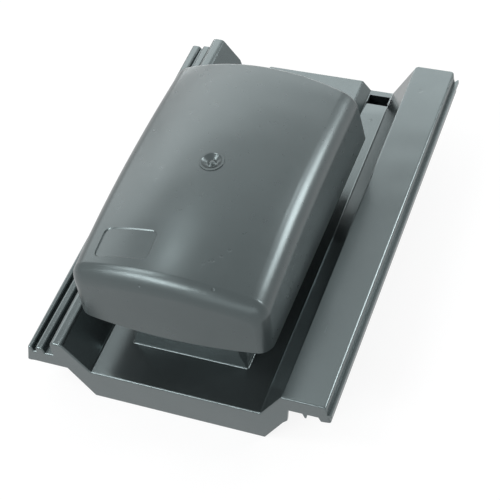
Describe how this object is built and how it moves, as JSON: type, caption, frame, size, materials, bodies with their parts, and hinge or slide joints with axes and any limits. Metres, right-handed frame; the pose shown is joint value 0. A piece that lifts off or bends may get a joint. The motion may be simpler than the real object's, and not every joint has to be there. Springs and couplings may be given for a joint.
{
  "type": "static roof vent",
  "caption": "Interlocking plastic roof tile with a rectangular duct upstand under a separate domed cowl that keeps rain out and lets air escape",
  "frame": {"origin": "middle of the footprint, on the plane that the front apron and the hanging lugs stand on", "axes": "+X to the right as seen from the eaves, +Y up the roof towards the head, +Z out of the roof"},
  "size_m": [0.3042, 0.42, 0.1808],
  "materials": {
    "base_tile": "satin slate grey",
    "cowl": "satin slate grey",
    "insect_grille": "matt black"
  },
  "bodies": {
    "root": {"base_tile": "base_tile", "cowl": "cowl", "insect_grille": "insect_grille"}
  },
  "joints": []
}
